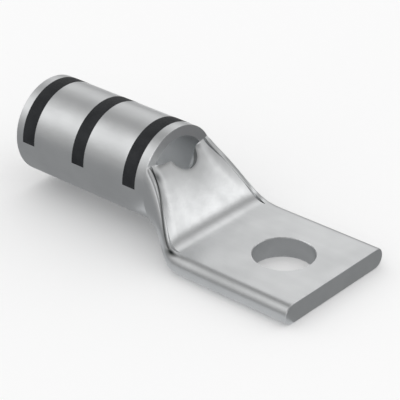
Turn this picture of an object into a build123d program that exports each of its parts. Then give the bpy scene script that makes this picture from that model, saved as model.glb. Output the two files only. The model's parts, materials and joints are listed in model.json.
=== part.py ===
from build123d import *
from build123d.topology import SkipClean
import math
import os

# Cable lug pressed from one length of round copper tube.
# Frame: origin at the centre of the stud hole on the pad's underside,
# +X towards the pad's free end, +Z up through the pad.

# The round barrel, which takes the stripped conductor
barrel_diameter = 14.2
bore_diameter = 11.2
barrel_length = 24.2
barrel_rise = 1.2
mouth_bevel = 0.6
mouth_edge_break = 0.15

# The flattened pad, two tube walls pressed together
pad_width = 20.8
pad_thickness = 3.0
hole_to_pad_end = 8.6
hole_to_crease = 11.8
pad_edge_break = 0.1

# The stud hole
stud_hole_diameter = 8.5
stud_edge_break = 0.1

# The ramp, the upper wall pressed down between two folded rims
ramp_angle = 51.0
ramp_crown = 3.0
ramp_drop = 3.9
bend_radius = 3.0
rim_height = 0.7
rim_lip = 0.36
rim_run = 2.2
ear_half_width = 9.7
fold_overrun = 0.8
heel_run = 1.7
root_run = 0.6
turn_run = 0.7
plate_wall = 1.5

# The crease just inside each rim, pinched deepest at the shoulder and in the bend's corner
crease_inset = 0.45
crease_depth = 0.24
crease_width = 0.16
tuck_depth = 1.1
tuck_width = 0.5
tuck_run = 3.0
corner_depth = 0.85
corner_width = 0.5
corner_run = 1.7

# The sight notch torn into the ramp's free upper edge
notch_radius = 2.45
notch_offset = 0.85
notch_depth = 2.6
notch_lead_depth = 0.4
notch_near_end = 4.5
notch_far_end = 4.3
notch_lead_run = 1.3
notch_corner_radius = 0.7

# Places worked out from the driving sizes
barrel_radius = barrel_diameter / 2
bore_radius = bore_diameter / 2
tube_wall = barrel_radius - bore_radius
axis_z = barrel_rise + barrel_radius
ramp_slope = math.tan(math.radians(ramp_angle))
ramp_top_z = axis_z + barrel_radius - ramp_drop
shoulder_x = -hole_to_crease - (ramp_top_z - pad_thickness) / ramp_slope
mouth_x = shoulder_x - barrel_length
ramp_top_turn = math.radians(ramp_angle - ramp_crown)
ramp_foot_turn = math.radians(ramp_angle + ramp_crown)
ramp_foot_z = pad_thickness + bend_radius * (1 - math.cos(ramp_foot_turn))
ramp_radius = (ramp_top_z - ramp_foot_z) / (math.cos(ramp_top_turn) - math.cos(ramp_foot_turn))
ramp_centre_x = shoulder_x - ramp_radius * math.sin(ramp_top_turn)
ramp_centre_z = ramp_top_z - ramp_radius * math.cos(ramp_top_turn)
bend_start_x = ramp_centre_x + ramp_radius * math.sin(ramp_foot_turn)
bend_end_x = bend_start_x + bend_radius * math.sin(ramp_foot_turn)
fold_length = fold_overrun - hole_to_crease - shoulder_x
root_x = bend_end_x + heel_run
pad_start_x = root_x + turn_run + root_run
side_radius = pad_thickness / 2
flat_half = pad_width / 2 - side_radius
notch_centre = (notch_depth - notch_radius, notch_offset)
notch_cut_depth = 1.4 * plate_wall

# Cuts start this far clear of the face they open
cut_margin = 0.3
# A quarter of a circle as a cubic curve has handles of this share of its radius
quarter_handle = 0.5523
# The rim's inner side stays level over these shares of its run, at its foot and at its crest
dish_share = 0.5
lip_share = 0.25
# The rims reach their widest, and the sides the pad's width, at these shares of the fold
ear_share = 0.875
full_width_share = 0.93
# The crease runs out over this length on each side of the bend's end
crease_fade = 0.4
# The foot of the barrel's section ends this far round from straight down
foot_angle = 20


def blend(start, end, share):
    return start + (end - start) * share


def ease(share):
    return share * share * (3 - 2 * share)


def fold_share(x):
    """Share of the fold's length passed at x, from the shoulder to just past the ramp's foot."""
    return min(max((x - shoulder_x) / fold_length, 0), 1)


def heel_share(x):
    """The same on to the pad's root, where the underside has settled flat."""
    return min(max((x - shoulder_x) / (root_x - shoulder_x), 0), 1)


def ramp_z(x):
    """Height of the ramp's face: a slightly crowned slope, the bend's arc, then the pad's top."""
    if x >= bend_end_x:
        return pad_thickness
    if x > bend_start_x:
        return pad_thickness + bend_radius - math.sqrt(bend_radius**2 - (bend_end_x - x) ** 2)
    return ramp_centre_z + math.sqrt(ramp_radius**2 - (x - ramp_centre_x) ** 2)


def rim_z(x):
    """Height of the rims' crests, which stand over the ramp's chord and not over its crown."""
    share = fold_share(x)
    rise = rim_lip * (1 - share) + rim_height * math.sin(math.pi * share**0.8) ** 2
    if x > bend_start_x:
        return ramp_z(x) + rise
    chord_share = (x - shoulder_x) / (bend_start_x - shoulder_x)
    return blend(ramp_top_z, ramp_foot_z, chord_share) + rise


def rounded(law, x):
    """A law of x with its sharp turns rounded off, exact at the shoulder."""
    reach = min(turn_run, x - shoulder_x)
    places = [x + reach * step / 4 for step in range(-4, 5)]
    return sum(law(place) for place in places) / len(places)


def rim_y(x):
    """Half the distance between the crests: out to the ears at the bend, then in to the pad."""
    lip_z = ramp_top_z + rim_lip - axis_z
    lip_y = math.sqrt(barrel_radius**2 - lip_z**2)
    spread = min(fold_share(x) / ear_share, 1) ** 1.5
    ear_x = shoulder_x + ear_share * fold_length
    settle = ease(min(max((x - ear_x) / (root_x - ear_x), 0), 1))
    return blend(lip_y, ear_half_width, spread) + (flat_half - ear_half_width) * settle


def side_y(x):
    return blend(barrel_radius, pad_width / 2, min(fold_share(x) / full_width_share, 1) ** 1.4)


def half_width(x):
    return rounded(side_y, x)


def floor_z(x):
    return barrel_rise * (1 - ease(heel_share(x)))


def side_z(x):
    """Height of the widest point of the folded side."""
    barrel_share = barrel_radius / (barrel_radius + ramp_top_z + rim_lip - axis_z)
    return blend(floor_z(x), rim_z(x), blend(barrel_share, 0.5, fold_share(x) ** 1.8))


def foot_y(x):
    """Half the width of the level underside, between its two rounded corners."""
    barrel_run = barrel_radius * (1 - math.sin(math.radians(foot_angle)))
    run = blend(barrel_run, side_radius, min(1.65 * fold_share(x), 1) ** 3)
    return half_width(x) - run


def quarter(start, end, level_at_start):
    """A rounded corner that runs level at one end and upright at the other."""
    across = (end[0] - start[0]) * quarter_handle
    along = (end[1] - start[1]) * quarter_handle
    if level_at_start:
        Bezier(start, (start[0] + across, start[1]), (end[0], end[1] - along), end)
    else:
        Bezier(start, (start[0], start[1] + along), (end[0] - across, end[1]), end)


def rim_side(plate, crest):
    """The rim's inner side, which dishes gently up from the ramp and levels out at its crest."""
    run = crest[0] - plate[0]
    Bezier(plate, (plate[0] + dish_share * run, plate[1]), (crest[0] - lip_share * run, crest[1]), crest)


def barrel_section():
    """The barrel's round section below its cut shoulder, closed by the ramp's top edge."""
    lip_y = rim_y(shoulder_x)
    lip_z = ramp_top_z + rim_lip
    plate_y = lip_y - rim_run
    lip_angle = math.degrees(math.asin((lip_z - axis_z) / barrel_radius))
    Line((-plate_y, ramp_top_z), (plate_y, ramp_top_z))
    rim_side((plate_y, ramp_top_z), (lip_y, lip_z))
    CenterArc((0, axis_z), barrel_radius, lip_angle, -lip_angle)
    CenterArc((0, axis_z), barrel_radius, 0, foot_angle - 90)
    CenterArc((0, axis_z), barrel_radius, foot_angle - 90, -2 * foot_angle)
    CenterArc((0, axis_z), barrel_radius, -90 - foot_angle, foot_angle - 90)
    CenterArc((0, axis_z), barrel_radius, 180, -lip_angle)
    rim_side((-plate_y, ramp_top_z), (-lip_y, lip_z))


def folded_section(x):
    """The flattened tube's outline between the shoulder and the pad."""
    plate_z = ramp_z(x)
    crest_y = rounded(rim_y, x)
    crest_z = rim_z(x)
    plate_y = crest_y - rim_run
    Line((-plate_y, plate_z), (plate_y, plate_z))
    Line((-foot_y(x), floor_z(x)), (foot_y(x), floor_z(x)))
    for way in (1, -1):
        plate = (way * plate_y, plate_z)
        crest = (way * crest_y, crest_z)
        side = (way * half_width(x), side_z(x))
        foot = (way * foot_y(x), floor_z(x))
        rim_side(plate, crest)
        quarter(crest, side, True)
        quarter(side, foot, False)


def pad_section():
    """The pad's outline, flat above and below with round sides."""
    plate_y = flat_half - rim_run
    Line((-plate_y, pad_thickness), (plate_y, pad_thickness))
    Line((-flat_half, 0), (flat_half, 0))
    for way in (1, -1):
        Line((way * plate_y, pad_thickness), (way * flat_half, pad_thickness))
        CenterArc((way * flat_half, side_radius), side_radius, 90, -way * 90)
        CenterArc((way * flat_half, side_radius), side_radius, 90 - way * 90, -way * 90)


def crease_size(x):
    """Depth and width of the crease at x: even on the ramp, more at both ends, none on the pad."""
    tuck = ease(max(1 - (x - shoulder_x) / tuck_run, 0))
    corner_x = blend(bend_start_x, bend_end_x, 0.4)
    corner = ease(max(1 - abs(x - corner_x) / corner_run, 0))
    fade = ease(min(max((bend_end_x + crease_fade - x) / (2 * crease_fade), 0), 1))
    depth = crease_depth + (tuck_depth - crease_depth) * tuck + (corner_depth - crease_depth) * corner
    width = crease_width + (tuck_width - crease_width) * tuck + (corner_width - crease_width) * corner
    return depth * fade, width * fade


def crease_section(x, way):
    """The crease's pinched wedge: a sloping flank on the ramp's side, an upright one by the rim."""
    depth, width = crease_size(x)
    flank_y = rounded(rim_y, x) - crease_inset
    top_z = rim_z(x) + 0.3 * depth
    with BuildLine(Plane.YZ.offset(x)) as outline:
        Polyline(
            (way * (flank_y - 1.3 * width), top_z),
            (way * flank_y, top_z),
            (way * flank_y, rim_z(x) - depth),
            close=True,
        )
    return make_face(outline.edges())


def cavity_ceiling_z(x):
    """Underside of the ramp's wall, one wall below its face."""
    return ramp_z(x) - plate_wall / math.cos(math.radians(ramp_angle))


def cavity_mouth_section():
    """The bore's round section below the ramp's underside."""
    ceiling_angle = math.degrees(math.asin((cavity_ceiling_z(shoulder_x) - axis_z) / bore_radius))
    ceiling_y = bore_radius * math.cos(math.radians(ceiling_angle))
    ceiling_z = cavity_ceiling_z(shoulder_x)
    Line((-ceiling_y, ceiling_z), (ceiling_y, ceiling_z))
    CenterArc((0, axis_z), bore_radius, ceiling_angle, -ceiling_angle)
    CenterArc((0, axis_z), bore_radius, 0, foot_angle - 90)
    CenterArc((0, axis_z), bore_radius, foot_angle - 90, -2 * foot_angle)
    CenterArc((0, axis_z), bore_radius, -90 - foot_angle, foot_angle - 90)
    CenterArc((0, axis_z), bore_radius, 180, -ceiling_angle)


def cavity_section(x):
    """The space left inside the tube as the two walls close on each other."""
    ceiling_z = cavity_ceiling_z(x)
    floor = floor_z(x) + tube_wall
    height = ceiling_z - floor
    side_y = half_width(x) - tube_wall
    flat_y = side_y - height / 2
    Line((-flat_y, ceiling_z), (flat_y, ceiling_z))
    Line((-flat_y, floor), (flat_y, floor))
    for way in (1, -1):
        ceiling = (way * flat_y, ceiling_z)
        side = (way * side_y, floor + height / 2)
        foot = (way * flat_y, floor)
        quarter(ceiling, side, True)
        quarter(side, foot, False)


def section_face(x, draw):
    """A flat face across the tube whose edges stay apart, so that the fold can follow each."""
    with SkipClean():
        with BuildLine(Plane.YZ.offset(x)) as outline:
            draw()
        return make_face(outline.edges())


def on_notch_circle(corner):
    reach = math.hypot(corner.X - notch_centre[0], corner.Y - notch_centre[1])
    return abs(reach - notch_radius) < 0.001


def even_steps(start, end, count):
    return [start + (end - start) * step / count for step in range(1, count + 1)]


fold_stations = even_steps(shoulder_x, bend_start_x, 12)
fold_stations += even_steps(bend_start_x, bend_end_x, 4)
fold_stations += even_steps(bend_end_x, root_x + turn_run, 6)
fold_sections = [section_face(shoulder_x, barrel_section)]
for station in fold_stations:
    fold_sections.append(section_face(station, lambda: folded_section(station)))
fold_sections.append(section_face(pad_start_x, pad_section))

crease_stations = [shoulder_x] + even_steps(shoulder_x, bend_end_x, 14)
crease_sections = {way: [crease_section(x, way) for x in crease_stations] for way in (1, -1)}

cavity_shares = (0.2, 0.4, 0.6)
cavity_sections = [section_face(shoulder_x, cavity_mouth_section)]
for share in cavity_shares:
    station = shoulder_x + fold_length * share
    cavity_sections.append(section_face(station, lambda: cavity_section(station)))

ramp_plane = Plane(
    origin=(shoulder_x, 0, ramp_top_z),
    x_dir=(math.cos(math.radians(ramp_angle)), 0, -math.sin(math.radians(ramp_angle))),
    z_dir=(math.sin(math.radians(ramp_angle)), 0, math.cos(math.radians(ramp_angle))),
)

with BuildPart() as cable_lug:
    # The barrel, round up to its cut shoulder
    with BuildSketch(Plane.YZ.offset(mouth_x)):
        with Locations((0, axis_z)):
            Circle(barrel_radius)
    extrude(amount=barrel_length)

    # The fold and the pad
    loft(sections=fold_sections)
    extrude(fold_sections[-1], amount=hole_to_pad_end - pad_start_x, dir=(1, 0, 0))

    # The bore, and the space that narrows from it under the ramp
    with BuildSketch(Plane.YZ.offset(mouth_x)):
        with Locations((0, axis_z)):
            Circle(bore_radius)
    extrude(amount=barrel_length, mode=Mode.SUBTRACT)
    loft(sections=cavity_sections, ruled=True, mode=Mode.SUBTRACT)

    # The two creases between the ramp and its rims
    for sections in crease_sections.values():
        loft(sections=sections, ruled=True, mode=Mode.SUBTRACT)

    # The sight notch in the ramp's free edge, with its torn leads
    with BuildSketch(ramp_plane.offset(cut_margin)) as notch:
        with Locations(notch_centre):
            Circle(notch_radius)
        with Locations((-notch_radius, 0)):
            Rectangle(2 * (notch_radius - cut_margin), barrel_diameter, mode=Mode.SUBTRACT)
        with BuildLine():
            Polyline(
                (-cut_margin, -notch_near_end),
                (0, -notch_near_end),
                (notch_lead_depth, notch_lead_run - notch_near_end),
                (notch_lead_depth, notch_far_end - notch_lead_run),
                (0, notch_far_end),
                (-cut_margin, notch_far_end),
                close=True,
            )
        make_face()
        fillet(notch.vertices().filter_by(on_notch_circle), notch_corner_radius)
    extrude(amount=-cut_margin - notch_cut_depth, mode=Mode.SUBTRACT)

    # The stud hole, its upper edge barely broken
    with BuildSketch():
        Circle(stud_hole_diameter / 2)
    extrude(amount=pad_thickness, mode=Mode.SUBTRACT)
    hole_edges = cable_lug.edges().filter_by(GeomType.CIRCLE).filter_by_position(
        Axis.Z, pad_thickness - 0.01, pad_thickness + 0.01
    )
    chamfer(hole_edges, stud_edge_break)

    # The sheared end of the pad
    end_edges = cable_lug.faces().sort_by(Axis.X)[-1].edges()
    chamfer(end_edges, pad_edge_break)

    # The barrel's mouth, bevelled inside so that the strands run in
    mouth_edges = cable_lug.faces().sort_by(Axis.X)[0].edges().sort_by(SortBy.LENGTH)
    chamfer(mouth_edges[0], mouth_bevel)
    chamfer(cable_lug.faces().sort_by(Axis.X)[0].edges().sort_by(SortBy.LENGTH)[-1], mouth_edge_break)

os.makedirs("parts", exist_ok=True)
cable_lug.part.label = "cable_lug"
export_step(cable_lug.part, "parts/cable_lug.step")
print("volume", cable_lug.part.volume, "solids", len(cable_lug.part.solids()))
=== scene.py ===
import json
import math
import bmesh
import bpy
import numpy as np
from mathutils import Matrix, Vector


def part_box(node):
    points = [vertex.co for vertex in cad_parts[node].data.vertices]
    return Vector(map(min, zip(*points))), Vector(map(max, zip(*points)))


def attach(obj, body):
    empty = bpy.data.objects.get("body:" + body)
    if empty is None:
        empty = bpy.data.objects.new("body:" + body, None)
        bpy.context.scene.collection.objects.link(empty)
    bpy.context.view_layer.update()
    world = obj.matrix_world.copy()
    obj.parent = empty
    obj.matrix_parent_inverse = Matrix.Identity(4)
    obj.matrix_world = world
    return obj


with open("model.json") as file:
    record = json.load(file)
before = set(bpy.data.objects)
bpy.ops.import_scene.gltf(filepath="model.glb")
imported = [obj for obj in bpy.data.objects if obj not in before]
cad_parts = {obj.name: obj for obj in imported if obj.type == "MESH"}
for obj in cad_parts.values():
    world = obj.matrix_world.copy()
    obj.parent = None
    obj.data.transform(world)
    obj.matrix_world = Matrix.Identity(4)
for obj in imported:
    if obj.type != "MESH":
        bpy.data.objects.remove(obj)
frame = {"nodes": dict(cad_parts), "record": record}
bpy.context.view_layer.update()
scene = bpy.context.scene
scene.view_settings.view_transform = "Standard"
print("frame loaded:", sorted(frame["nodes"]))


# small helpers

perMetre = 1000  # millimetres in a metre


def millimetres(value):
    # a length in millimetres as metres: the value over a thousand
    return value / perMetre


def eachInMillimetres(values):
    # the same for each of a few lengths
    return [millimetres(value) for value in values]


def direction(azimuth, elevation):
    # the unit vector at an azimuth round from -Y towards +X and an elevation over the floor
    az, el = math.radians(azimuth), math.radians(elevation)
    return np.array([math.sin(az) * math.cos(el), -math.cos(az) * math.cos(el), math.sin(el)])


def newMaterial(name):
    # a material with its node tree and its main shader
    material = bpy.data.materials.new(name)
    material.use_nodes = True
    return material, material.node_tree, material.node_tree.nodes["Principled BSDF"]


def meshPiece(name, points, faces, material):
    # one mesh from arrays of points and faces, placed by its own vertices
    mesh = bpy.data.meshes.new(name)
    mesh.from_pydata(points.tolist(), [], faces.tolist())
    mesh.materials.append(material)
    mesh.update()
    piece = bpy.data.objects.new(name, mesh)
    scene.collection.objects.link(piece)
    return piece


# the lug's own sizes in millimetres, from the frame and from the ramp's three driving sizes

mounts = {mount["name"]: mount for mount in frame["record"]["mounts"]}
lowest, highest = (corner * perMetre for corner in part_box("cable_lug"))
lug = {
    "mouth": lowest.x,
    "boreAxis": mounts["conductor_barrel"]["pos_m"][2] * perMetre,
    "boreRadius": mounts["conductor_barrel"]["dims"]["r_mm"],
    "padTop": mounts["pad_top"]["pos_m"][2] * perMetre,
    "holeRadius": mounts["stud_hole"]["dims"]["r_mm"],
    "crease": -11.8,    # where the ramp's face would meet the pad's top
    "rampAngle": 51.0,  # degrees over the pad
    "rampDrop": 3.9,    # from the barrel's top down to the ramp's head
}
lug["barrelRadius"] = highest.z - lug["boreAxis"]
lug["rampSlope"] = math.tan(math.radians(lug["rampAngle"]))
lug["shoulder"] = lug["crease"] - (highest.z - lug["rampDrop"] - lug["padTop"]) / lug["rampSlope"]


# the camera, at the photograph's view

view = {
    "azimuth": 40.702,      # degrees, as the two below
    "elevation": 29.222,
    "roll": -0.148,
    "place": (0.12999, -0.16817, 0.12983),
    "focal": 1869.0 / 400,  # focal length over the frame's width
    "sensor": 36.0,
    "clip": (0.01, 20),
}


def makeCamera(view):
    # the camera's axes are right, up and back; cosine and sine of the roll mix right and up
    az, roll = math.radians(view["azimuth"]), math.radians(view["roll"])
    back = direction(view["azimuth"], view["elevation"])
    right = np.array([math.cos(az), math.sin(az), 0])
    up = np.cross(back, right)
    turned = (
        math.cos(roll) * right - math.sin(roll) * up,
        math.sin(roll) * right + math.cos(roll) * up,
        back,
        view["place"],
    )
    data = bpy.data.cameras.new("camera")
    data.lens = view["focal"] * view["sensor"]
    data.sensor_width = view["sensor"]
    data.clip_start, data.clip_end = view["clip"]
    camera = bpy.data.objects.new("camera", data)
    matrix = Matrix.Identity(4)
    for column, axis in enumerate(turned):
        for row in range(3):
            matrix[row][column] = axis[row]
    camera.matrix_world = matrix
    scene.collection.objects.link(camera)
    scene.camera = camera


makeCamera(view)
print("camera placed")


# node helpers

def put(tree, socket, value):
    # a link where the value is a socket, and otherwise a plain setting
    if isinstance(value, bpy.types.NodeSocket):
        tree.links.new(value, socket)
    else:
        socket.default_value = value


def mathNode(tree, operation, first, second=None):
    # one operation on one or two numbers
    node = tree.nodes.new("ShaderNodeMath")
    node.operation = operation
    put(tree, node.inputs[0], first)
    if second is not None:
        put(tree, node.inputs[1], second)
    return node.outputs[0]


def vectorNode(tree, operation, first, second):
    # one operation on two vectors
    node = tree.nodes.new("ShaderNodeVectorMath")
    node.operation = operation
    put(tree, node.inputs[0], first)
    put(tree, node.inputs[1], second)
    return node.outputs


def hypotenuse(tree, first, second):
    # the square root of first squared plus second squared
    firstSquare = mathNode(tree, "MULTIPLY", first, first)
    secondSquare = mathNode(tree, "MULTIPLY", second, second)
    return mathNode(tree, "SQRT", mathNode(tree, "ADD", firstSquare, secondSquare))


def bell(tree, square):
    # the exponential of minus a squared distance: 1 in the middle and 0 far out
    return mathNode(tree, "EXPONENT", mathNode(tree, "MULTIPLY", square, -1.0))


def fade(tree, value, low, high):
    # 0 up to low, 1 from high on, and a smooth step between them
    node = tree.nodes.new("ShaderNodeMapRange")
    node.interpolation_type = "SMOOTHSTEP"
    put(tree, node.inputs["Value"], value)
    put(tree, node.inputs["From Min"], low)
    put(tree, node.inputs["From Max"], high)
    return node.outputs[0]


def spread(tree, value, low, high):
    # a 0 to 1 value carried to low to high: low plus the value times their difference
    return mathNode(tree, "ADD", mathNode(tree, "MULTIPLY", value, high - low), low)


def opposite(tree, value):
    # 1 minus the value
    return mathNode(tree, "SUBTRACT", 1.0, value)


def product(tree, value, factors):
    # the value times each factor in turn
    for factor in factors:
        value = mathNode(tree, "MULTIPLY", value, factor)
    return value


def mixColors(tree, mask, first, second):
    # the first colour where the mask is 0 and the second where it is 1
    node = tree.nodes.new("ShaderNodeMix")
    node.data_type = "RGBA"
    put(tree, node.inputs[0], mask)
    for socket, value in ((node.inputs[6], first), (node.inputs[7], second)):
        put(tree, socket, value if isinstance(value, bpy.types.NodeSocket) else (*value, 1))
    return node.outputs[2]


def noiseNode(tree, vector, scale, detail):
    # soft noise, with the scale as cells to the metre
    node = tree.nodes.new("ShaderNodeTexNoise")
    put(tree, node.inputs["Vector"], vector)
    put(tree, node.inputs["Scale"], scale)
    node.inputs["Detail"].default_value = detail
    return node.outputs[0]


def addBump(tree, shader, height, distance):
    # the surface waves by the height times the distance
    bump = tree.nodes.new("ShaderNodeBump")
    bump.inputs["Distance"].default_value = distance
    put(tree, bump.inputs["Height"], height)
    put(tree, shader.inputs["Normal"], bump.outputs[0])


def placeOnObject(tree):
    # the point on the piece in metres, whole and as x, y and z
    place = tree.nodes.new("ShaderNodeTexCoord").outputs["Object"]
    split = tree.nodes.new("ShaderNodeSeparateXYZ")
    tree.links.new(place, split.inputs[0])
    return place, *split.outputs


def newGroup(name, inputs, outputs):
    # an empty node group with its input and output sockets
    group = bpy.data.node_groups.new(name, "ShaderNodeTree")
    for label, kind in inputs.items():
        group.interface.new_socket(label, in_out="INPUT", socket_type=kind)
    for label in outputs:
        group.interface.new_socket(label, in_out="OUTPUT", socket_type="NodeSocketFloat")
    return group, group.nodes.new("NodeGroupInput").outputs, group.nodes.new("NodeGroupOutput").inputs


def placeGroup(tree, group, values):
    # a group used in a material, with a value or a link for each of its inputs
    node = tree.nodes.new("ShaderNodeGroup")
    node.node_tree = group
    for label, value in values.items():
        put(tree, node.inputs[label], value)
    return node.outputs


# grain and edge wear, which the plating and the ink share

grainLook = {
    "contrast": (0.28, 0.72),  # the noise's range that is spread over 0 to 1
    "streakStretch": 0.06,     # how slowly the streaks change along X
    "cloudDetail": 2.0,
    "streakDetail": 3.0,
    "gritDetail": 1.0,
}

wearLook = {
    "leastReach": 0.3,         # of the width, where the breakup is 0
    "breakupReach": 0.8,       # more where it is 1
    "softness": 0.6,
}


def makeGrain(look):
    # clouds are wide soft noise, streaks are noise drawn out along X, grit is close noise, each 0 to 1
    group, given, result = newGroup(
        "metalGrain",
        {
            "Place": "NodeSocketVector", "Cloud Scale": "NodeSocketFloat",
            "Streak Scale": "NodeSocketFloat", "Grit Scale": "NodeSocketFloat",
        },
        ("Clouds", "Streaks", "Grit"),
    )
    drawnOut = vectorNode(group, "MULTIPLY", given["Place"], (look["streakStretch"], 1, 1))[0]
    layers = {
        "Clouds": (given["Place"], given["Cloud Scale"], look["cloudDetail"]),
        "Streaks": (drawnOut, given["Streak Scale"], look["streakDetail"]),
        "Grit": (given["Place"], given["Grit Scale"], look["gritDetail"]),
    }
    for label, (vector, scale, detail) in layers.items():
        noise = noiseNode(group, vector, scale, detail)
        put(group, result[label], fade(group, noise, *look["contrast"]))
    return group


def makeEdgeWear(look):
    # wear is a smooth step of the reach minus distance over width, and the reach grows with the breakup
    group, given, result = newGroup(
        "edgeWear",
        {"Distance": "NodeSocketFloat", "Width": "NodeSocketFloat", "Breakup": "NodeSocketFloat"},
        ("Wear",),
    )
    share = mathNode(group, "DIVIDE", given["Distance"], given["Width"])
    more = mathNode(group, "MULTIPLY", given["Breakup"], look["breakupReach"])
    reach = mathNode(group, "ADD", more, look["leastReach"])
    near = mathNode(group, "SUBTRACT", reach, share)
    put(group, result["Wear"], fade(group, near, 0.0, look["softness"]))
    return group


grain = makeGrain(grainLook)
edgeWear = makeEdgeWear(wearLook)
print("grain and edge wear groups made")


# floor and light

studio = {
    "floorHeight": -0.00004,
    "floorReach": 3.0,
    "floorColor": (0.96, 0.96, 0.96),
    "floorRoughness": 0.9,
    "floorSpecular": 0.1,
    "worldStrength": 1.0,
    "tentRadius": 2.5,
    "tentCuts": 4,          # how often the round tent's faces are divided
    "tentBase": 0.26,
    "tentLeast": 0.02,
}

# soft patches on the tent: azimuth and elevation as for the camera, half width in degrees, strength
tentPatches = {
    "leftSoftbox": (-52, 40, 18, 0.96),
    "backSoftbox": (221, 27, 20, 0.54),
    "rightWindow": (135, 14, 11, 1.72),
    "highBackSoftbox": (185, 55, 18, 0.65),
    "lowRightStrip": (55, 0, 18, 0.8),
    "leftFill": (-90, 25, 22, 0.35),
    "overheadFlag": (-90, 72, 22, -0.55),
    "grooveFlag": (166, 47, 8, -0.32),
    "bendStrip": (200, 46, 8, 0.3),
    "rimFill": (8, 38, 13, 0.8),
    "zenithFill": (0, 90, 15, 0.38),
    "farDishFill": (110, 26, 12, 0.42),
    "horizonFlag": (230, 0, 12, -0.26),
    "archFlag": (231, 43, 9, -0.13),
    "archFill": (-77, 54, 8, 0.1),
}

tones = {
    "mat": (0.305, 0.31, 0.315),
    "card": (0.57, 0.58, 0.59),
    "shade": (0.14, 0.14, 0.145),
    "end": (0.264, 0.269, 0.272),
}

# level sheets that the metal mirrors in place of the floor: x, y, height and tone
mats = {
    "frontMat": ((-0.3, 0.3), (-0.5, 0.03), -0.00002, "mat"),
    "sideMat": ((-0.04, 0.3), (0.03, 0.09), -0.00002, "mat"),
    "backMat": ((-1.5, 1.5), (0.09, 2.0), -0.00002, "mat"),
    "padCard": ((-0.018, 0.014), (-0.018, -0.0085), -0.00001, "card"),
    "shellCard": ((-0.024, -0.018), (-0.014, -0.0055), -0.00001, "card"),
    "endCard": ((0.0087, 0.020), (-0.0085, 0.018), -0.00001, "end"),
    "shoulderCard": ((-0.012, 0.006), (0.014, 0.030), -0.00001, "shade"),
}


def levelSheet(name, x, y, z, material):
    # a rectangle at height z, from the low to the high x and y, facing up
    corners = np.array([[x[0], y[0], z], [x[1], y[0], z], [x[1], y[1], z], [x[0], y[1], z]])
    return meshPiece(name, corners, np.array([[0, 1, 2, 3]]), material)


def makeFloor(studio):
    # a wide level sheet just under the lug
    span = (-studio["floorReach"], studio["floorReach"])
    material, _, shader = newMaterial("paleFloor")
    shader.inputs["Base Color"].default_value = (*studio["floorColor"], 1)
    shader.inputs["Roughness"].default_value = studio["floorRoughness"]
    shader.inputs["Specular IOR Level"].default_value = studio["floorSpecular"]
    levelSheet("floor", span, span, studio["floorHeight"], material)


def makeWorld(studio):
    # even white light from all round
    world = bpy.data.worlds.new("studio")
    scene.world = world
    world.use_nodes = True
    background = world.node_tree.nodes["Background"]
    background.inputs["Color"].default_value = (1, 1, 1, 1)
    background.inputs["Strength"].default_value = studio["worldStrength"]


def newGlow(name):
    # a material of plain emission
    material = bpy.data.materials.new(name)
    material.use_nodes = True
    tree = material.node_tree
    tree.nodes.clear()
    emission = tree.nodes.new("ShaderNodeEmission")
    output = tree.nodes.new("ShaderNodeOutputMaterial")
    tree.links.new(emission.outputs[0], output.inputs["Surface"])
    return material, tree, emission


def reflectionOnly(piece):
    # studio gear stands outside the picture: it shows in the metal and casts no light or shadow
    piece.visible_camera = False
    piece.visible_diffuse = False
    piece.visible_shadow = False


def makeTent(studio, patches):
    # a round tent that glows: base plus, for each patch, strength times exp((cosine - 1) / width squared)
    mesh = bpy.data.meshes.new("reflectionTent")
    ball = bmesh.new()
    bmesh.ops.create_icosphere(ball, subdivisions=studio["tentCuts"], radius=studio["tentRadius"])
    bmesh.ops.reverse_faces(ball, faces=ball.faces)
    ball.to_mesh(mesh)
    ball.free()
    tent = bpy.data.objects.new("reflectionTent", mesh)
    scene.collection.objects.link(tent)
    material, tree, emission = newGlow("tentGlow")
    unit = tree.nodes.new("ShaderNodeVectorMath")
    unit.operation = "NORMALIZE"
    put(tree, unit.inputs[0], placeOnObject(tree)[0])
    glow = studio["tentBase"]
    for azimuth, elevation, width, strength in patches.values():
        cosine = vectorNode(tree, "DOT_PRODUCT", unit.outputs[0], direction(azimuth, elevation))["Value"]
        fall = mathNode(tree, "MULTIPLY", opposite(tree, cosine), 1 / math.radians(width) ** 2)
        glow = mathNode(tree, "ADD", mathNode(tree, "MULTIPLY", bell(tree, fall), strength), glow)
    put(tree, emission.inputs["Strength"], mathNode(tree, "MAXIMUM", glow, studio["tentLeast"]))
    mesh.materials.append(material)
    reflectionOnly(tent)


def makeMat(name, x, y, z, tone):
    # a level sheet of one even tone, without the lug's own shade on it
    material, _, emission = newGlow(name)
    emission.inputs["Color"].default_value = (*tone, 1)
    reflectionOnly(levelSheet(name, x, y, z, material))


makeFloor(studio)
makeWorld(studio)
makeTent(studio, tentPatches)
for name, (x, y, z, tone) in mats.items():
    makeMat(name, x, y, z, tones[tone])
print("floor, world, tent and mats made")


# tin plating, satin with soft clouds, fine drawn streaks, bright worn edges, painted light inside and
# painted shade in the folds

plating = {
    "dullTone": (0.685, 0.695, 0.70),
    "brightTone": (0.755, 0.765, 0.77),
    "wornTone": (0.84, 0.85, 0.855),
    # painted shade: a near black tone laid in the folds, corners and beside the torn edge
    "soilTone": (0.035, 0.04, 0.038),
    # painted light: a paler tone inside the bore and under the ramp, so the dim inside looks lit
    "insideTone": (0.94, 0.953, 0.962),
    "cloudScale": 210.0,          # noise cells per metre
    "streakScale": 900.0,
    "gritScale": 2600.0,
    "toneShares": (0.75, 0.25),   # of the clouds and the streaks
    "roughness": (0.30, 0.36),
    "wornRoughness": 0.28,
    "soilRoughness": 0.7,
    "insideRoughness": 0.46,
    "wearWidth": 0.25,            # millimetres, as the three below
    "wearOverRamp": 0.2,          # the shoulder wears only above this height over the ramp
    "rampWall": 1.0,              # the painted light inside starts this far under the ramp's face
    "waveHeight": 0.022,
    "streakHeight": 0.06,         # against the clouds' height
    "gritHeight": 0.12,
}
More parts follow.
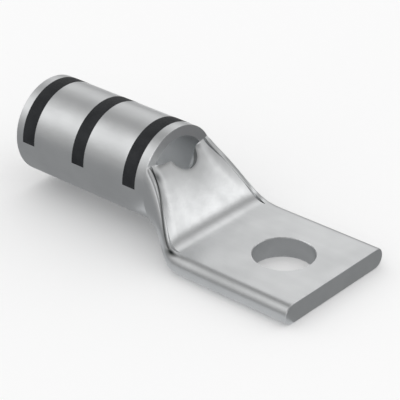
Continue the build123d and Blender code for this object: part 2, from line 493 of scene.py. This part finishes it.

# painted shade in the folds, in the corners, on the ramp's head, along the pad's side and by the torn edge,
# in millimetres
soil = {
    "skin": (-1.2, -0.5),         # it fades in between these heights over the ramp's face
    "shoulderGap": 0.11,          # it keeps this far ahead of the shoulder
    "spots": {                    # painted shade spots: centre, half widths and strength
        "bendCorner": ((-11.35, -9.72, 3.15), (0.85, 0.42, 0.7), 1.0),
        "shoulderCorner": ((-17.6, -5.4, 10.4), (0.85, 0.7, 1.0), 0.66),
        "rampHead": ((-18.4, 0.0, 11.2), (1.7, 7.0, 2.1), 0.15),
        "padSide": ((-1.5, -9.95, 2.45), (15.0, 0.65, 0.7), 0.2),
    },
    # a line of painted shade beside each rim: widths are towards the ramp and towards the side
    "lines": {
        "near": {
            "side": -1, "span": (-18.4, -11.1), "fromAxis": (5.7, 9.75), "strength": 0.8,
            "widths": (0.34, 0.2), "begin": (-18.58, -18.55), "end": (-12.0, -11.1),
        },
        "far": {
            "side": 1, "span": (-18.25, -10.25), "fromAxis": (6.3, 9.55), "strength": 0.45,
            "widths": (0.22, 0.24), "begin": (-16.8, -15.7), "end": (-13.2, -12.3),
        },
    },
    "tornCentre": (0.15, 0.85),   # down the ramp's face from its head, and across
    "tornRadius": 2.45,
    "tornLead": 0.4,
    "tornReach": (3.9, 4.9),      # across, where the shade dies out
    "tornShades": ((0.4, 0.24), (2.6, 0.24)),  # width and strength of the close and the wide shade
}


def rampFace(tree, lug, x, above):
    # the ramp's face: the pad's top plus slope times the run back from the crease, plus the given height
    run = mathNode(tree, "MAXIMUM", mathNode(tree, "SUBTRACT", millimetres(lug["crease"]), x), 0.0)
    rise = mathNode(tree, "MULTIPLY", run, lug["rampSlope"])
    return mathNode(tree, "ADD", rise, millimetres(lug["padTop"] + above))


def boreDistance(tree, lug, y, z):
    # how far a point lies from the barrel's axis: the hypotenuse of y and the height over it
    return hypotenuse(tree, y, mathNode(tree, "SUBTRACT", z, millimetres(lug["boreAxis"])))


def edgeDistance(tree, lug, plating, x, y, z):
    # metres to the mouth's, shoulder's or stud hole's edge: the least hypotenuse of across and along
    overBarrel = mathNode(tree, "SUBTRACT", boreDistance(tree, lug, y, z), millimetres(lug["barrelRadius"]))
    underRamp = mathNode(tree, "SUBTRACT", rampFace(tree, lug, x, plating["wearOverRamp"]), z)
    alongShoulder = mathNode(tree, "MAXIMUM", mathNode(tree, "ABSOLUTE", overBarrel), underRamp)
    fromMouth = mathNode(tree, "SUBTRACT", x, millimetres(lug["mouth"]))
    fromShoulder = mathNode(tree, "SUBTRACT", x, millimetres(lug["shoulder"]))
    fromHole = mathNode(tree, "SUBTRACT", hypotenuse(tree, x, y), millimetres(lug["holeRadius"]))
    fromTop = mathNode(tree, "SUBTRACT", z, millimetres(lug["padTop"]))
    nearest = hypotenuse(tree, fromMouth, overBarrel)
    for across, along in ((fromShoulder, alongShoulder), (fromHole, fromTop), (fromHole, z)):
        nearest = mathNode(tree, "MINIMUM", hypotenuse(tree, across, along), nearest)
    return nearest


def paintedInsideLightMask(tree, lug, plating, x, y, z):
    # where light is painted inside: 1 within the bore, and under the ramp between the two walls
    margins = {"shoulder": 0.13, "bore": 0.01, "fold": 1.0}  # millimetres past the shoulder and the bore
    fromAxis = boreDistance(tree, lug, y, z)
    behind = mathNode(tree, "LESS_THAN", x, millimetres(lug["shoulder"] + margins["shoulder"]))
    inBore = mathNode(tree, "LESS_THAN", fromAxis, millimetres(lug["boreRadius"] + margins["bore"]))
    limits = (
        mathNode(tree, "LESS_THAN", z, rampFace(tree, lug, x, -plating["rampWall"])),
        mathNode(tree, "LESS_THAN", fromAxis, millimetres(lug["boreRadius"] + margins["fold"])),
        mathNode(tree, "LESS_THAN", x, millimetres(lug["crease"])),
    )
    underRamp = product(tree, opposite(tree, behind), limits)
    return mathNode(tree, "MAXIMUM", mathNode(tree, "MULTIPLY", behind, inBore), underRamp)


def paintedShadeSpots(tree, place, soil):
    # the strongest of the painted shade spots: strength times exp(-(distance over half width) squared)
    strongest = 0.0
    for centre, widths, strength in soil["spots"].values():
        away = vectorNode(tree, "SUBTRACT", place, eachInMillimetres(centre))[0]
        scaled = vectorNode(tree, "MULTIPLY", away, [1 / width for width in eachInMillimetres(widths)])[0]
        square = vectorNode(tree, "DOT_PRODUCT", scaled, scaled)["Value"]
        spot = mathNode(tree, "MULTIPLY", bell(tree, square), strength)
        strongest = mathNode(tree, "MAXIMUM", spot, strongest)
    return strongest


def paintedShadeLine(tree, lug, soil, line, x, y, z):
    # painted shade in a line beside one rim: exp(-(distance over width) squared), on the ramp's upper face
    # only
    reach = fade(tree, x, *eachInMillimetres(line["span"]))
    path = spread(tree, reach, *eachInMillimetres(line["fromAxis"]))
    offset = mathNode(tree, "SUBTRACT", mathNode(tree, "MULTIPLY", y, line["side"]), path)
    rampSide, rimSide = (1 / width for width in eachInMillimetres(line["widths"]))
    outward = mathNode(tree, "MULTIPLY", mathNode(tree, "MAXIMUM", offset, 0.0), rimSide)
    inward = mathNode(tree, "MULTIPLY", mathNode(tree, "MINIMUM", offset, 0.0), rampSide)
    share = mathNode(tree, "SUBTRACT", outward, inward)
    overRamp = mathNode(tree, "SUBTRACT", z, rampFace(tree, lug, x, 0.0))
    onSkin = fade(tree, overRamp, *eachInMillimetres(soil["skin"]))
    begun = fade(tree, x, *eachInMillimetres(line["begin"]))
    ended = fade(tree, x, *eachInMillimetres(line["end"]))
    depth = bell(tree, mathNode(tree, "MULTIPLY", share, share))
    return product(tree, depth, (line["strength"], onSkin, begun, opposite(tree, ended)))


def tornShade(tree, lug, soil, x, y, z):
    # shade on the ramp beside the torn edge: the sum of strength times exp(-(distance over width) squared)
    fromHead = mathNode(tree, "SUBTRACT", x, millimetres(lug["shoulder"]))
    down = mathNode(tree, "MULTIPLY", fromHead, math.hypot(1, lug["rampSlope"]))
    alongCentre, acrossCentre = eachInMillimetres(soil["tornCentre"])
    fromCentre = hypotenuse(tree, mathNode(tree, "SUBTRACT", down, alongCentre),
                            mathNode(tree, "SUBTRACT", y, acrossCentre))
    fromNotch = mathNode(tree, "SUBTRACT", fromCentre, millimetres(soil["tornRadius"]))
    fromLead = mathNode(tree, "SUBTRACT", down, millimetres(soil["tornLead"]))
    distance = mathNode(tree, "MAXIMUM", mathNode(tree, "MINIMUM", fromNotch, fromLead), 0.0)
    total = 0.0
    for width, strength in soil["tornShades"]:
        share = mathNode(tree, "MULTIPLY", distance, 1 / millimetres(width))
        shade = bell(tree, mathNode(tree, "MULTIPLY", share, share))
        total = mathNode(tree, "ADD", mathNode(tree, "MULTIPLY", shade, strength), total)
    overRamp = mathNode(tree, "SUBTRACT", z, rampFace(tree, lug, x, 0.0))
    onRamp = mathNode(tree, "GREATER_THAN", overRamp, millimetres(soil["skin"][0]))
    ahead = mathNode(tree, "GREATER_THAN", fromHead, millimetres(soil["shoulderGap"]))
    beyond = fade(tree, mathNode(tree, "ABSOLUTE", y), *eachInMillimetres(soil["tornReach"]))
    return product(tree, total, (onRamp, ahead, opposite(tree, beyond)))


def makePlating(lug, plating, soil):
    # dull to bright tin by the grain, then worn edges, the painted light inside and the painted shade laid
    # over it in turn
    material, tree, shader = newMaterial("tinPlating")
    place, x, y, z = placeOnObject(tree)
    surface = placeGroup(tree, grain, {
        "Place": place, "Cloud Scale": plating["cloudScale"],
        "Streak Scale": plating["streakScale"], "Grit Scale": plating["gritScale"],
    })
    cloudShare, streakShare = plating["toneShares"]
    tone = mathNode(tree, "ADD", mathNode(tree, "MULTIPLY", surface["Clouds"], cloudShare),
                    mathNode(tree, "MULTIPLY", surface["Streaks"], streakShare))
    worn = placeGroup(tree, edgeWear, {
        "Distance": edgeDistance(tree, lug, plating, x, y, z),
        "Width": millimetres(plating["wearWidth"]), "Breakup": surface["Grit"],
    })["Wear"]
    # painted light inside the bore, and painted shade from the spots, the torn edge and the rim lines
    inside = paintedInsideLightMask(tree, lug, plating, x, y, z)
    paintedShadeMask = mathNode(tree, "MAXIMUM", paintedShadeSpots(tree, place, soil), tornShade(tree, lug, soil, x, y, z))
    for line in soil["lines"].values():
        paintedShadeMask = mathNode(tree, "MAXIMUM", paintedShadeMask, paintedShadeLine(tree, lug, soil, line, x, y, z))
    color = mixColors(tree, tone, plating["dullTone"], plating["brightTone"])
    rough = spread(tree, opposite(tree, tone), *plating["roughness"])
    # worn edges are wear; the paler inside is painted light and the near black layer is painted shade
    for mask, layer in ((worn, "worn"), (inside, "inside"), (paintedShadeMask, "soil")):
        color = mixColors(tree, mask, color, plating[layer + "Tone"])
        change = mathNode(tree, "SUBTRACT", plating[layer + "Roughness"], rough)
        rough = mathNode(tree, "ADD", rough, mathNode(tree, "MULTIPLY", mask, change))
    put(tree, shader.inputs["Base Color"], color)
    put(tree, shader.inputs["Roughness"], rough)
    shader.inputs["Metallic"].default_value = 1.0
    streakWave = mathNode(tree, "MULTIPLY", surface["Streaks"], plating["streakHeight"])
    gritWave = mathNode(tree, "MULTIPLY", surface["Grit"], plating["gritHeight"])
    height = mathNode(tree, "ADD", mathNode(tree, "ADD", streakWave, surface["Clouds"]), gritWave)
    addBump(tree, shader, height, millimetres(plating["waveHeight"]))
    return material


tinPlating = makePlating(lug, plating, soil)
for slot in frame["nodes"]["cable_lug"].material_slots:
    slot.material = tinPlating
print("plating on the lug")


# crimp bands, a film of black ink round the barrel's upper half, in millimetres and degrees

bands = {
    "firstStart": -41.49,
    "pitch": 9.525,
    "width": 2.23,
    "count": 3,
    "proud": 0.02,
    "angles": (0.0, 180.0),       # round the barrel from +Y over the top
    "steps": 120,
    "inkTone": (0.010, 0.0115, 0.014),
    "thinInkTone": (0.035, 0.037, 0.040),
    "inkRoughness": (0.52, 0.66),
    "inkSpecular": 0.3,
    "cloudScale": 420.0,          # noise cells per metre
    "streakScale": 1500.0,
    "gritScale": 4200.0,
    "cloudThinning": 0.35,
    "thinWidth": 0.12,
    "inkLift": 0.004,
}


def makeInk(bands):
    # black ink, thinner and greyer along its rims and in soft clouds
    material, tree, shader = newMaterial("bandInk")
    place, x = placeOnObject(tree)[:2]
    surface = placeGroup(tree, grain, {
        "Place": place, "Cloud Scale": bands["cloudScale"],
        "Streak Scale": bands["streakScale"], "Grit Scale": bands["gritScale"],
    })
    fromFirst = mathNode(tree, "SUBTRACT", x, millimetres(bands["firstStart"]))
    along = mathNode(tree, "MODULO", fromFirst, millimetres(bands["pitch"]))
    toEnd = mathNode(tree, "SUBTRACT", millimetres(bands["width"]), along)
    toRim = mathNode(tree, "MAXIMUM", mathNode(tree, "MINIMUM", along, toEnd), 0.0)
    thinRim = placeGroup(tree, edgeWear, {
        "Distance": toRim, "Width": millimetres(bands["thinWidth"]), "Breakup": surface["Grit"],
    })["Wear"]
    thinCloud = mathNode(tree, "MULTIPLY", surface["Clouds"], bands["cloudThinning"])
    thin = mathNode(tree, "MAXIMUM", thinRim, thinCloud)
    put(tree, shader.inputs["Base Color"], mixColors(tree, thin, bands["inkTone"], bands["thinInkTone"]))
    put(tree, shader.inputs["Roughness"], spread(tree, surface["Grit"], *bands["inkRoughness"]))
    shader.inputs["Specular IOR Level"].default_value = bands["inkSpecular"]
    addBump(tree, shader, surface["Grit"], millimetres(bands["inkLift"]))
    return material


def bandSleeve(lug, bands, start):
    # a closed thin half sleeve: rings of four corners, each at radius times cosine and sine of its angle
    angles = np.radians(np.linspace(*bands["angles"], bands["steps"] + 1))[:, None]
    inner, outer = lug["barrelRadius"] - bands["proud"], lug["barrelRadius"] + bands["proud"]
    end = start + bands["width"]
    radius = np.array([inner, outer, outer, inner])
    across, up = radius * np.cos(angles), radius * np.sin(angles) + lug["boreAxis"]
    along = np.broadcast_to([start, start, end, end], across.shape)
    points = np.stack([along, across, up], -1)
    ring = np.arange(bands["steps"])[:, None] * 4
    corner = np.arange(4)[None, :]
    following = (corner + 1) % 4
    sides = np.stack([ring + 4 + corner, ring + 4 + following, ring + following, ring + corner], -1)
    last = 4 * bands["steps"]
    caps = np.array([[0, 1, 2, 3], [last + 3, last + 2, last + 1, last]])
    return points.reshape(-1, 3), np.concatenate([sides.reshape(-1, 4), caps])


def makeBands(lug, bands):
    # the same half sleeve at each pitch, as one mesh
    points, faces = [], []
    for number in range(bands["count"]):
        sleevePoints, sleeveFaces = bandSleeve(lug, bands, bands["firstStart"] + number * bands["pitch"])
        faces.append(sleeveFaces + number * len(sleevePoints))
        points.append(sleevePoints)
    material = makeInk(bands)
    return meshPiece("crimp_bands", millimetres(np.concatenate(points)), np.concatenate(faces), material)


crimpBands = makeBands(lug, bands)
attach(crimpBands, "root")
print("crimp bands made")

bpy.context.view_layer.update()
